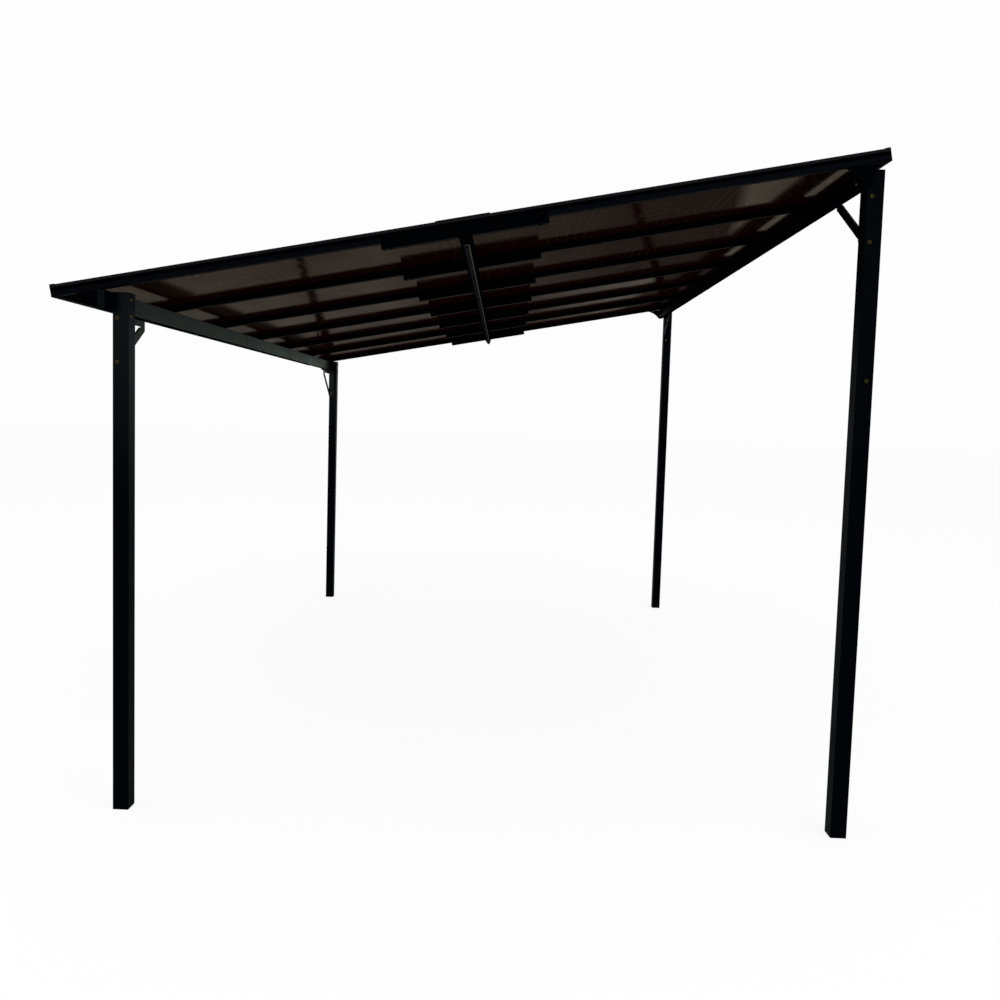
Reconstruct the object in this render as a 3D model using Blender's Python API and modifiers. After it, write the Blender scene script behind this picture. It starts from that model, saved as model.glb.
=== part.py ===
"""A four-post steel pergola with a sloping panelled roof, built in metres with +Z up.

The high side is on +X and the low side on -X. The front is on -Y.
The origin is on the ground, in the middle of the object's outline.
"""

import math

import bmesh
import bpy
from mathutils import Vector

# Driving dimensions of the frame
FRAME_WIDTH = 3.0
FRAME_DEPTH = 4.34
LOW_BEAM_UNDERSIDE = 2.035
ROOF_PITCH = math.radians(10.4)

# Posts, cut square and closed at the foot
POST_SIDE = 0.065
POST_WALL = 0.002

# Side beams, bolted to the downhill face of the posts
BEAM_WIDTH = 0.030
BEAM_HEIGHT = 0.075
BEAM_WALL = 0.002
BEAM_PAST_POST = 0.065
BEAM_FRONT_LENGTH = 1.87

# Roof outline, measured level along X from the outer faces of the posts
ROOF_PAST_LOW_POST = 0.212
ROOF_SHORT_OF_HIGH_POST = 0.004

# Rafters, one box section under the panels and a flange over them
RAFTER_COUNT = 7
RAFTER_WIDTH = 0.030
RAFTER_HEIGHT = 0.030
RAFTER_WALL = 0.002
RAFTER_WEB = 0.004
RAFTER_FLANGE = 0.003

# Edge rafters at the front and back, with a groove along the outside
EDGE_FACE_HEIGHT = 0.020
EDGE_GROOVE_DEPTH = 0.010
EDGE_GROOVE_HEIGHT = 0.014
EDGE_HEIGHT = 0.046

# Roof panels
PANEL_THICKNESS = 0.006
PANEL_SIDE_CLEARANCE = 0.002

# Splice sleeves that join the two halves of each rafter
SLEEVE_LENGTH = 0.652
SLEEVE_DROP = 0.025
SLEEVE_WALL = 0.002

# Centre channel below the sleeves
CHANNEL_TOP_WIDTH = 0.052
CHANNEL_BOTTOM_WIDTH = 0.022
CHANNEL_HEIGHT = 0.034
CHANNEL_WALL = 0.002

# Eave channels that close the ends of the rafters
EAVE_DEPTH = 0.020
EAVE_WALL = 0.002

# Cover strips over the joint of the edge rafters
COVER_LENGTH = 0.212
COVER_THICKNESS = 0.003

# Knee braces in the corners between the posts and the side beams
BRACE_RUN = 0.248
BRACE_DROP = 0.213
BRACE_END_HEIGHT = 0.042
BRACE_BAR_HEIGHT = 0.043
BRACE_TOP_STRIP = 0.026
BRACE_THICKNESS = 0.003
BRACE_FOLD_STEP = 0.0005
BRACE_SEAT = 0.022
BRACE_FLANGE = 0.010
BRACE_TAB_WIDTH = 0.040
BRACE_TAB_HEIGHT = 0.222
BRACE_TAB_BELOW_TOP = 0.001
BRACE_BELOW_LOW_BEAM = 0.008
BRACE_UP_HIGH_BEAM = 0.034

# Gap between pieces that touch
TOUCH = 0.0003

# Places worked out from the sizes above
POST_FACE_LOW = -FRAME_WIDTH / 2
POST_FACE_HIGH = FRAME_WIDTH / 2 - POST_SIDE
BEAM_X_LOW = POST_FACE_LOW - TOUCH - BEAM_WIDTH
BEAM_X_HIGH = POST_FACE_HIGH - TOUCH - BEAM_WIDTH
LOW_BEAM_TOP = LOW_BEAM_UNDERSIDE + BEAM_HEIGHT
ROOF_X_LOW = -FRAME_WIDTH / 2 - ROOF_PAST_LOW_POST
ROOF_X_HIGH = FRAME_WIDTH / 2 - ROOF_SHORT_OF_HIGH_POST
ROOF_X_MIDDLE = (ROOF_X_LOW + ROOF_X_HIGH) / 2
ROOF_SEAT = TOUCH / math.cos(ROOF_PITCH)
FRAME_END = FRAME_DEPTH / 2 + BEAM_PAST_POST
ROOF_SLOPE_LENGTH = (ROOF_X_HIGH - ROOF_X_LOW) / math.cos(ROOF_PITCH)
RAFTER_LENGTH = ROOF_SLOPE_LENGTH - 2 * (EAVE_WALL + TOUCH)
RAFTER_SPACING = (2 * FRAME_END - RAFTER_WIDTH) / (RAFTER_COUNT - 1)
PANEL_BOTTOM = RAFTER_HEIGHT + TOUCH
FLANGE_BOTTOM = PANEL_BOTTOM + PANEL_THICKNESS + TOUCH
RAFTER_TOP = FLANGE_BOTTOM + RAFTER_FLANGE
SLEEVE_INNER = RAFTER_WIDTH + 2 * TOUCH
SLEEVE_OUTER = SLEEVE_INNER + 2 * SLEEVE_WALL


def rafter_underside(x):
    """Height of the rafters' undersides above the ground at this x."""
    return LOW_BEAM_TOP + ROOF_SEAT + (x - BEAM_X_LOW) * math.tan(ROOF_PITCH)


HIGH_BEAM_TOP = rafter_underside(BEAM_X_HIGH) - ROOF_SEAT

# The middle of the whole object along X, from the low eave's upper corner to the high posts
EAVE_TOP = EDGE_HEIGHT + TOUCH + EAVE_WALL
OBJECT_X_LOW = ROOF_X_LOW - EAVE_TOP * math.sin(ROOF_PITCH)
OBJECT_X_MIDDLE = (OBJECT_X_LOW + FRAME_WIDTH / 2) / 2


def clear_scene():
    for item in list(bpy.data.objects):
        bpy.data.objects.remove(item, do_unlink=True)


def make_collection(name):
    collection = bpy.data.collections.new(name)
    bpy.context.scene.collection.children.link(collection)
    return collection


def make_material(name, colour, roughness, metallic):
    material = bpy.data.materials.new(name)
    material.use_nodes = True
    shader = material.node_tree.nodes["Principled BSDF"]
    shader.inputs["Base Color"].default_value = (*colour, 1.0)
    shader.inputs["Roughness"].default_value = roughness
    shader.inputs["Metallic"].default_value = metallic
    return material


def add_object(name, mesh, material, parent, location=(0, 0, 0)):
    item = bpy.data.objects.new(name, mesh)
    PARTS.objects.link(item)
    item.parent = parent
    item.location = location
    if material.name not in mesh.materials:
        mesh.materials.append(material)
    return item


def add_cutter(name, mesh, parent, location=(0, 0, 0)):
    item = bpy.data.objects.new(name, mesh)
    CUTTERS.objects.link(item)
    item.parent = parent
    item.location = location
    item.hide_render = True
    item.display_type = "WIRE"
    return item


def combine(item, other, operation):
    modifier = item.modifiers.new(operation.title(), "BOOLEAN")
    modifier.operation = operation
    modifier.solver = "EXACT"
    modifier.object = other


def box_mesh(name, low, high):
    """A box between two opposite corners."""
    size = Vector(high) - Vector(low)
    middle = (Vector(high) + Vector(low)) / 2
    build = bmesh.new()
    bmesh.ops.create_cube(build, size=1.0)
    bmesh.ops.scale(build, vec=size, verts=build.verts)
    bmesh.ops.translate(build, vec=middle, verts=build.verts)
    mesh = bpy.data.meshes.new(name)
    build.to_mesh(mesh)
    build.free()
    return mesh


def extruded_mesh(name, outline, along, start, end):
    """A flat outline drawn across one axis and drawn out along it.

    An outline across X gives (y, z) pairs and one across Y gives (x, z) pairs.
    """
    build = bmesh.new()
    corners = []
    for first, second in outline:
        place = (start, first, second) if along == "X" else (first, start, second)
        corners.append(build.verts.new(place))
    face = build.faces.new(corners)
    drawn = bmesh.ops.extrude_face_region(build, geom=[face])
    moved = [part for part in drawn["geom"] if isinstance(part, bmesh.types.BMVert)]
    step = (end - start, 0, 0) if along == "X" else (0, end - start, 0)
    bmesh.ops.translate(build, vec=step, verts=moved)
    bmesh.ops.recalc_face_normals(build, faces=build.faces)
    mesh = bpy.data.meshes.new(name)
    build.to_mesh(mesh)
    build.free()
    return mesh


def open_box_mesh(name, low, high, open_sides):
    """A box without the sides that face these directions, to be thickened into a tube."""
    mesh = box_mesh(name, low, high)
    build = bmesh.new()
    build.from_mesh(mesh)
    build.normal_update()
    gone = [face for face in build.faces for side in open_sides if face.normal.dot(Vector(side)) > 0.5]
    bmesh.ops.delete(build, geom=gone, context="FACES_ONLY")
    build.to_mesh(mesh)
    build.free()
    return mesh


def thicken_inward(item, wall):
    modifier = item.modifiers.new("Wall", "SOLIDIFY")
    modifier.thickness = wall
    modifier.offset = -1.0
    modifier.use_even_offset = True


def add_posts(ground, material):
    """Four square tubes, each closed at the foot and open under the roof."""
    rows = (("front", -FRAME_DEPTH / 2), ("back", FRAME_DEPTH / 2 - POST_SIDE))
    for side, x, height in (("low", POST_FACE_LOW, LOW_BEAM_TOP), ("high", POST_FACE_HIGH, HIGH_BEAM_TOP)):
        for row, y in rows:
            name = "post_" + row + "_" + side
            mesh = open_box_mesh(name, (0, 0, 0), (POST_SIDE, POST_SIDE, height), [(0, 0, 1)])
            post = add_object(name, mesh, material, ground, (x, y, 0))
            thicken_inward(post, POST_WALL)


def add_side_beams(ground, material):
    """Two rectangular tubes along Y on each side, butted where the front length ends."""
    joint = -FRAME_END + BEAM_FRONT_LENGTH
    for side, x, top in (("low", BEAM_X_LOW, LOW_BEAM_TOP), ("high", BEAM_X_HIGH, HIGH_BEAM_TOP)):
        for row, start, end in (("front", -FRAME_END, joint), ("back", joint + TOUCH, FRAME_END)):
            name = "side_beam_" + side + "_" + row
            mesh = open_box_mesh(name, (0, start, -BEAM_HEIGHT), (BEAM_WIDTH, end, 0),
                                 [(0, 1, 0), (0, -1, 0)])
            beam = add_object(name, mesh, material, ground, (x, 0, top))
            thicken_inward(beam, BEAM_WALL)


def add_knee_braces(ground, material):
    """Folded corner brackets in the plane of the posts' downhill faces.

    The low ones hang just below their beam. The high ones are lapped up the far side of theirs.
    """
    low_top = LOW_BEAM_UNDERSIDE - BRACE_BELOW_LOW_BEAM
    high_top = HIGH_BEAM_TOP - BEAM_HEIGHT + BRACE_UP_HIGH_BEAM
    sides = (("low", POST_FACE_LOW, -1, low_top), ("high", POST_FACE_HIGH, 1, high_top))
    for side, post_face, outward, top in sides:
        for row, toward in (("front", 1), ("back", -1)):
            corner = (post_face, -toward * (FRAME_DEPTH / 2 - POST_SIDE), top)
            add_knee_brace("knee_brace_" + row + "_" + side, ground, corner, toward, outward, material)


def add_knee_brace(name, ground, corner, toward, outward, material):
    """One bracket: a strip along the beam, a sloping bar, two flanges and a tab on the post.

    The corner is the bracket's top at the post's inner face. The bay lies on the toward side
    of it, and the flanges are folded to the outward side. Each fold is a small step inside
    the web's outline, so that no two of the joined faces lie in one plane.
    """
    step = BRACE_FOLD_STEP
    near = TOUCH + step
    slope = (BRACE_DROP - BRACE_END_HEIGHT) / BRACE_RUN
    upper_at_post = -BRACE_DROP + BRACE_BAR_HEIGHT
    crotch = (-BRACE_TOP_STRIP - upper_at_post) / slope
    outline = [
        (toward * near, 0),
        (toward * BRACE_RUN, 0),
        (toward * BRACE_RUN, -BRACE_END_HEIGHT),
        (toward * near, -BRACE_DROP + slope * near),
        (toward * near, upper_at_post + slope * near),
        (toward * crotch, -BRACE_TOP_STRIP),
        (toward * near, -BRACE_TOP_STRIP),
    ]
    web_sides = sorted((0, outward * BRACE_THICKNESS))
    web = extruded_mesh(name, outline, "X", *web_sides)
    brace = add_object(name, web, material, ground, corner)
    inside_web = outward * BRACE_THICKNESS / 2
    inside_tab = TOUCH + BRACE_THICKNESS / 2

    # The seat along the top is folded outward
    seat_x = sorted((inside_web, outward * BRACE_SEAT))
    seat_y = sorted((toward * inside_tab, toward * (BRACE_RUN - step)))
    seat = box_mesh("seat_" + name, (seat_x[0], seat_y[0], -step - BRACE_THICKNESS),
                    (seat_x[1], seat_y[1], -step))
    combine(brace, add_cutter("join_seat_" + name, seat, ground, corner), "UNION")

    # The flange follows the upper edge of the bar
    flange_end = crotch - BRACE_THICKNESS
    flange_top = upper_at_post - step
    flange_outline = [
        (toward * inside_tab, flange_top + slope * inside_tab),
        (toward * flange_end, flange_top + slope * flange_end),
        (toward * flange_end, flange_top + slope * flange_end - BRACE_THICKNESS),
        (toward * inside_tab, flange_top + slope * inside_tab - BRACE_THICKNESS),
    ]
    flange_x = sorted((inside_web, outward * BRACE_FLANGE))
    flange = extruded_mesh("flange_" + name, flange_outline, "X", *flange_x)
    combine(brace, add_cutter("join_flange_" + name, flange, ground, corner), "UNION")

    # The tab covers the post's inner face from the bracket's top to below its foot
    tab_x = (web_sides[0] + step, BRACE_TAB_WIDTH)
    tab_y = sorted((toward * TOUCH, toward * (TOUCH + BRACE_THICKNESS)))
    tab = box_mesh("tab_" + name, (tab_x[0], tab_y[0], -BRACE_TAB_HEIGHT),
                   (tab_x[1], tab_y[1], -BRACE_TAB_BELOW_TOP))
    combine(brace, add_cutter("join_tab_" + name, tab, ground, corner), "UNION")


def rafter_outline():
    """Section of an inner rafter: a box, a web between the panels and a flange on top."""
    half = RAFTER_WIDTH / 2
    web = RAFTER_WEB / 2
    right = [(half, 0), (half, RAFTER_HEIGHT), (web, RAFTER_HEIGHT), (web, FLANGE_BOTTOM),
             (half, FLANGE_BOTTOM), (half, RAFTER_TOP)]
    left = [(-across, up) for across, up in reversed(right)]
    return right + left


def edge_rafter_outline(outward):
    """Section of an edge rafter, with the panel's slot inside and a groove outside."""
    half = RAFTER_WIDTH / 2
    web = RAFTER_WEB / 2
    groove = half - EDGE_GROOVE_DEPTH
    groove_top = EDGE_FACE_HEIGHT + EDGE_GROOVE_HEIGHT
    points = [(-half, 0), (half, 0), (half, EDGE_FACE_HEIGHT), (groove, EDGE_FACE_HEIGHT),
              (groove, groove_top), (half, groove_top), (half, EDGE_HEIGHT), (-half, EDGE_HEIGHT),
              (-half, FLANGE_BOTTOM), (-web, FLANGE_BOTTOM), (-web, RAFTER_HEIGHT), (-half, RAFTER_HEIGHT)]
    return [(outward * across, up) for across, up in points]


def add_rafters(roof, material):
    """Seven rafters in two halves each, drawn out along the slope and butted in the middle."""
    for number in range(RAFTER_COUNT):
        y = RAFTER_SPACING * (number - (RAFTER_COUNT - 1) / 2)
        is_edge = number in (0, RAFTER_COUNT - 1)
        if is_edge:
            outline = edge_rafter_outline(math.copysign(1, y))
            box_height = EDGE_FACE_HEIGHT
        else:
            outline = rafter_outline()
            box_height = RAFTER_HEIGHT
        halves = (("low", -RAFTER_LENGTH / 2, -TOUCH / 2), ("high", TOUCH / 2, RAFTER_LENGTH / 2))
        for half, start, end in halves:
            name = "rafter_" + str(number + 1) + "_" + half
            mesh = extruded_mesh(name, outline, "X", start, end)
            rafter = add_object(name, mesh, material, roof, (0, y, 0))
            side = RAFTER_WIDTH / 2 - RAFTER_WALL
            bore = box_mesh("bore_" + name, (start - RAFTER_WIDTH, -side, RAFTER_WALL),
                            (end + RAFTER_WIDTH, side, box_height - RAFTER_WALL))
            combine(rafter, add_cutter("cut_" + name, bore, roof, (0, y, 0)), "DIFFERENCE")


def sleeve_outline():
    """Section of a sleeve: a seat that wraps the rafter's sides above a closed box."""
    outer = SLEEVE_OUTER / 2
    inner = SLEEVE_INNER / 2
    return [(-outer, -SLEEVE_DROP), (outer, -SLEEVE_DROP), (outer, EDGE_FACE_HEIGHT),
            (inner, EDGE_FACE_HEIGHT), (inner, -TOUCH), (-inner, -TOUCH), (-inner, EDGE_FACE_HEIGHT),
            (-outer, EDGE_FACE_HEIGHT)]


def add_sleeves(roof, material):
    """One saddle under each rafter, over the joint of its halves."""
    start, end = -SLEEVE_LENGTH / 2, SLEEVE_LENGTH / 2
    for number in range(RAFTER_COUNT):
        y = RAFTER_SPACING * (number - (RAFTER_COUNT - 1) / 2)
        name = "splice_sleeve_" + str(number + 1)
        mesh = extruded_mesh(name, sleeve_outline(), "X", start, end)
        sleeve = add_object(name, mesh, material, roof, (0, y, 0))
        side = SLEEVE_OUTER / 2 - SLEEVE_WALL
        bore = box_mesh("bore_" + name, (start - SLEEVE_OUTER, -side, -SLEEVE_DROP + SLEEVE_WALL),
                        (end + SLEEVE_OUTER, side, -TOUCH - SLEEVE_WALL))
        combine(sleeve, add_cutter("cut_" + name, bore, roof, (0, y, 0)), "DIFFERENCE")


def add_panels(roof, material):
    """One flat panel in each bay, held in the slots of the rafters beside it."""
    reach = RAFTER_SPACING - RAFTER_WEB - 2 * PANEL_SIDE_CLEARANCE
    length = RAFTER_LENGTH / 2
    for number in range(RAFTER_COUNT - 1):
        y = RAFTER_SPACING * (number - (RAFTER_COUNT - 2) / 2)
        name = "roof_panel_" + str(number + 1)
        mesh = box_mesh(name, (-length, -reach / 2, PANEL_BOTTOM),
                        (length, reach / 2, PANEL_BOTTOM + PANEL_THICKNESS))
        add_object(name, mesh, material, roof, (0, y, 0))


def add_centre_channel(roof, material):
    """A folded channel, open at the top, that ties the sleeves together from front to back."""
    top = -SLEEVE_DROP - TOUCH
    bottom = top - CHANNEL_HEIGHT
    upper, lower = CHANNEL_TOP_WIDTH / 2, CHANNEL_BOTTOM_WIDTH / 2
    outline = [(-lower, bottom), (lower, bottom), (upper, top), (upper - CHANNEL_WALL, top),
               (lower - CHANNEL_WALL, bottom + CHANNEL_WALL), (-lower + CHANNEL_WALL, bottom + CHANNEL_WALL),
               (-upper + CHANNEL_WALL, top), (-upper, top)]
    mesh = extruded_mesh("centre_channel", outline, "Y", -FRAME_END, FRAME_END)
    add_object("centre_channel", mesh, material, roof)


def add_eave_channels(roof, material):
    """Two channels along Y that close the low and the high ends of the rafters."""
    low, high = -TOUCH - EAVE_WALL, EAVE_TOP
    for side, outward in (("low", -1), ("high", 1)):
        back = RAFTER_LENGTH / 2 + TOUCH
        open_edge = back + EAVE_WALL - EAVE_DEPTH
        section = [(back + EAVE_WALL, low), (back + EAVE_WALL, high), (open_edge, high),
                   (open_edge, high - EAVE_WALL), (back, high - EAVE_WALL), (back, low + EAVE_WALL),
                   (open_edge, low + EAVE_WALL), (open_edge, low)]
        outline = [(outward * along, up) for along, up in section]
        name = "eave_channel_" + side
        mesh = extruded_mesh(name, outline, "Y", -FRAME_END, FRAME_END)
        add_object(name, mesh, material, roof)


def add_edge_covers(roof, material):
    """A short strip over the joint of each edge rafter."""
    bottom = EDGE_HEIGHT + TOUCH
    for row, y in (("front", -FRAME_END), ("back", FRAME_END - RAFTER_WIDTH)):
        name = "edge_cover_" + row
        mesh = box_mesh(name, (-COVER_LENGTH / 2, 0, bottom),
                        (COVER_LENGTH / 2, RAFTER_WIDTH, bottom + COVER_THICKNESS))
        add_object(name, mesh, material, roof, (0, y, 0))


clear_scene()
PARTS = make_collection("pergola")
CUTTERS = make_collection("cutters")
CUTTERS.hide_render = True

# The ground frame has x = 0 midway between the posts
GROUND = bpy.data.objects.new("ground_frame", None)
PARTS.objects.link(GROUND)
GROUND.location = (-OBJECT_X_MIDDLE, 0, 0)

# The roof's own frame: X runs up the slope and Z is square to the panels
ROOF = bpy.data.objects.new("roof_frame", None)
PARTS.objects.link(ROOF)
ROOF.parent = GROUND
ROOF.location = (ROOF_X_MIDDLE, 0, rafter_underside(ROOF_X_MIDDLE))
ROOF.rotation_euler = (0, -ROOF_PITCH, 0)

NAVY_STEEL = make_material("navy_powder_coated_steel", (0.006, 0.008, 0.012), 0.42, 0.0)
WOOD_PANEL = make_material("wood_grain_panel", (0.020, 0.007, 0.005), 0.22, 0.0)

add_posts(GROUND, NAVY_STEEL)
add_side_beams(GROUND, NAVY_STEEL)
add_knee_braces(GROUND, NAVY_STEEL)
add_rafters(ROOF, NAVY_STEEL)
add_sleeves(ROOF, NAVY_STEEL)
add_panels(ROOF, WOOD_PANEL)
add_centre_channel(ROOF, NAVY_STEEL)
add_eave_channels(ROOF, NAVY_STEEL)
add_edge_covers(ROOF, NAVY_STEEL)
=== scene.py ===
import math

import bmesh
import bpy
from mathutils import Matrix, Vector, noise


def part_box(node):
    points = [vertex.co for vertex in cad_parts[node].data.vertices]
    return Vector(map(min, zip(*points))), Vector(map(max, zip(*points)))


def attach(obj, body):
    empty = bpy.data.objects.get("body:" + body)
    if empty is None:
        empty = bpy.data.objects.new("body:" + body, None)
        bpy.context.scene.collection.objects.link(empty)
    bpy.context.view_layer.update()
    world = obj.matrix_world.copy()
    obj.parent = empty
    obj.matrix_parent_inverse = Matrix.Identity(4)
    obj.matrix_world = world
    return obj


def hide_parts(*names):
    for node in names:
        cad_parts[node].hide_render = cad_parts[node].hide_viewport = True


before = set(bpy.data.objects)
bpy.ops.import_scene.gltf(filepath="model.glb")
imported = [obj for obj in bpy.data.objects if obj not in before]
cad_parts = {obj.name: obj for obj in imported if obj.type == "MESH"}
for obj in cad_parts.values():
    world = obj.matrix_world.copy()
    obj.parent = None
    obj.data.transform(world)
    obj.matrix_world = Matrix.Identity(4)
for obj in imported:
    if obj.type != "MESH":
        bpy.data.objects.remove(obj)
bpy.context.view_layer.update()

# Posts: four square steel tubes, roll-formed with rounded corners and powder-coated a
# near-black navy. Each is cut square, closed at the foot and open under the roof. The low
# pair gets more coat gloss than the high pair: a painted sheen on their lit faces, and the
# high pair's duller copy is painted shade.
CORNERS = (("front", "low"), ("front", "high"), ("back", "low"), ("back", "high"))
POST_CORNER = 0.0035
MERGE_DISTANCE = 0.00005
FLAT_ANGLE = math.radians(1.0)
SHARP_ANGLE = math.radians(20)
SHORTEST_RUN = 0.01
SAME_PLACE = 0.0005
NAVY = (0.0004, 0.0007, 0.0016)
COAT_ROUGHNESS = 0.40
COAT_SPECULAR = 0.004
LOW_POST_GLOSS = 0.14
HIGH_POST_GLOSS = 0.020
POST_GLOSS_ROUGHNESS = 0.25
GLOSSY_HEIGHTS = (1.15, 2.25)
SKIN_DIMPLES = 0.02
CLOUD_SPREAD = (0.3, 0.7)
CLOUD_ROUGHNESS = (-0.06, 0.09)
DUST_COLOUR = (0.020, 0.021, 0.023)
DUST_ON_FACING = (0.35, 0.98)
DUST_ON_SIDES = 0.02
DUST_PATCHES = (0.42, 0.72)
MIX_COLOUR_A = 6
MIX_COLOUR_B = 7
MIX_COLOUR_RESULT = 2


def add_node(tree, kind, **settings):
    """A node with its settings; a dictionary of inputs gives the sockets' own values."""
    node = tree.nodes.new(kind)
    inputs = settings.pop("inputs", {})
    for setting, value in settings.items():
        setattr(node, setting, value)
    for socket, value in inputs.items():
        node.inputs[socket].default_value = value
    return node


def math_node(tree, operation, first, second=None, third=None, clamp=False):
    """A Math node on sockets or plain numbers; gives its output."""
    node = add_node(tree, "ShaderNodeMath", operation=operation, use_clamp=clamp)
    for socket, value in zip(node.inputs, (first, second, third)):
        if value is None:
            continue
        if isinstance(value, float):
            socket.default_value = value
        else:
            tree.links.new(value, socket)
    return node.outputs["Value"]


def ramp(tree, value, start, end, first=0.0, last=1.0, **settings):
    """A value that goes from first to last while another goes from start to end."""
    node = add_node(tree, "ShaderNodeMapRange", **settings,
                    inputs={"From Min": start, "From Max": end, "To Min": first, "To Max": last})
    tree.links.new(value, node.inputs["Value"])
    return node.outputs["Result"]


def noise_at(tree, place, **inputs):
    """Soft noise at a place."""
    node = add_node(tree, "ShaderNodeTexNoise", inputs=inputs)
    tree.links.new(place, node.inputs["Vector"])
    return node.outputs["Fac"]


def mix_colours(tree, factor, first, second):
    """A colour between two others."""
    node = add_node(tree, "ShaderNodeMix", data_type="RGBA")
    tree.links.new(factor, node.inputs["Factor"])
    tree.links.new(first, node.inputs[MIX_COLOUR_A])
    tree.links.new(second, node.inputs[MIX_COLOUR_B])
    return node.outputs[MIX_COLOUR_RESULT]


def split_axes(tree, vector):
    """The X, Y and Z of a vector."""
    node = add_node(tree, "ShaderNodeSeparateXYZ")
    tree.links.new(vector, node.inputs["Vector"])
    return node.outputs


def new_group(name, inputs, outputs):
    """An empty node group; gives it, its input sockets, its output sockets and Object coordinates."""
    group = bpy.data.node_groups.new(name, "ShaderNodeTree")
    for in_out, sockets in (("INPUT", inputs), ("OUTPUT", outputs)):
        for socket, kind in sockets:
            group.interface.new_socket(socket, in_out=in_out, socket_type="NodeSocket" + kind)
    given = group.nodes.new("NodeGroupInput").outputs
    result = group.nodes.new("NodeGroupOutput").inputs
    return group, given, result, group.nodes.new("ShaderNodeTexCoord").outputs["Object"]


def new_material(name, values):
    """A material with these values on its shader's own sockets; gives it, its tree and its shader."""
    material = bpy.data.materials.new(name)
    material.use_nodes = True
    shader = material.node_tree.nodes["Principled BSDF"]
    for socket, value in values.items():
        shader.inputs[socket].default_value = value
    return material, material.node_tree, shader


def coat_group():
    """The marks on powder coat: a dimpled skin, a cloudy sheen, dust on what faces up, and a gloss
    that fades out toward the ground."""
    group, given, result, place = new_group(
        "powder_coat_marks",
        (("Paint", "Color"), ("Dust Colour", "Color"), ("Dust", "Float"), ("Roughness", "Float"),
         ("Gloss", "Float")),
        (("Colour", "Color"), ("Roughness", "Float"), ("Height", "Float"), ("Gloss", "Float")))
    group.links.new(noise_at(group, place, Scale=420.0, Detail=2.0), result["Height"])

    clouds = noise_at(group, place, Scale=3.1, Detail=5.0, Roughness=0.62)
    change = ramp(group, clouds, *CLOUD_SPREAD, *CLOUD_ROUGHNESS)
    group.links.new(math_node(group, "ADD", given["Roughness"], change), result["Roughness"])

    height = split_axes(group, place)["Z"]
    gloss_by_height = ramp(group, height, *GLOSSY_HEIGHTS, interpolation_type="SMOOTHSTEP")
    group.links.new(math_node(group, "MULTIPLY", gloss_by_height, given["Gloss"]), result["Gloss"])

    facing = group.nodes.new("ShaderNodeNewGeometry").outputs["Normal"]
    upward = ramp(group, split_axes(group, facing)["Z"], *DUST_ON_FACING, first=DUST_ON_SIDES)
    specks = noise_at(group, place, Scale=38.0, Detail=7.0, Roughness=0.7)
    settled = math_node(group, "MULTIPLY", upward, ramp(group, specks, *DUST_PATCHES))
    amount = math_node(group, "MULTIPLY", settled, given["Dust"], clamp=True)
    group.links.new(mix_colours(group, amount, given["Paint"], given["Dust Colour"]), result["Colour"])
    return group


COAT_MARKS = coat_group()


def coated_steel(name, paint, dust, roughness, specular, gloss=0.0, gloss_roughness=0.4):
    """A powder coat over steel, with its own coat gloss, set by a weight and faded by height."""
    material, tree, shader = new_material(name, {"Specular IOR Level": specular,
                                                 "Coat Roughness": gloss_roughness})
    marks = add_node(tree, "ShaderNodeGroup", node_tree=COAT_MARKS)
    for socket, value in (("Paint", (*paint, 1.0)), ("Dust Colour", (*DUST_COLOUR, 1.0)), ("Dust", dust),
                          ("Roughness", roughness), ("Gloss", gloss)):
        marks.inputs[socket].default_value = value
    skin = add_node(tree, "ShaderNodeBump", inputs={"Strength": SKIN_DIMPLES, "Distance": 0.001})
    tree.links.new(marks.outputs["Colour"], shader.inputs["Base Color"])
    tree.links.new(marks.outputs["Roughness"], shader.inputs["Roughness"])
    tree.links.new(marks.outputs["Gloss"], shader.inputs["Coat Weight"])
    tree.links.new(marks.outputs["Height"], skin.inputs["Height"])
    tree.links.new(skin.outputs["Normal"], shader.inputs["Normal"])
    return material


def node_copy(node):
    """A merged copy of a CAD node's mesh, with its flat faces made whole."""
    build = bmesh.new()
    build.from_mesh(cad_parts[node].data)
    bmesh.ops.remove_doubles(build, verts=build.verts, dist=MERGE_DISTANCE)
    bmesh.ops.dissolve_limit(build, angle_limit=FLAT_ANGLE, use_dissolve_boundaries=False,
                             verts=build.verts, edges=build.edges)
    build.normal_update()
    return build


def round_edges(build, radius, segments, chosen=None):
    """Rounds the sharp edges, or only those that the test chooses."""
    sharp = [edge for edge in build.edges if edge.is_manifold and edge.calc_face_angle(0) > SHARP_ANGLE]
    if chosen:
        sharp = [edge for edge in sharp if chosen(edge)]
    bmesh.ops.bevel(build, geom=sharp, offset=radius, offset_type="OFFSET", segments=segments, profile=0.5,
                    affect="EDGES", material=-1, clamp_overlap=True)


def finish_piece(name, build, materials, slot, *nodes):
    """Makes the object. It rides on the one body, and stands for these CAD nodes if any are named."""
    mesh = bpy.data.meshes.new(name)
    build.to_mesh(mesh)
    build.free()
    for material in materials:
        mesh.materials.append(material)
    piece = bpy.data.objects.new(name, mesh)
    bpy.context.scene.collection.objects.link(piece)
    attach(piece, "root")
    if nodes:
        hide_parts(*nodes)
    return piece


def on_hull(edge, box, axis):
    """True for an edge that runs along the axis on the outer corner of the box."""
    if abs((edge.verts[0].co - edge.verts[1].co)[axis]) < SHORTEST_RUN:
        return False
    middle = (edge.verts[0].co + edge.verts[1].co) / 2
    across = [index for index in range(3) if index != axis]
    return all(min(abs(middle[index] - box[0][index]), abs(middle[index] - box[1][index])) < SAME_PLACE
               for index in across)


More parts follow.
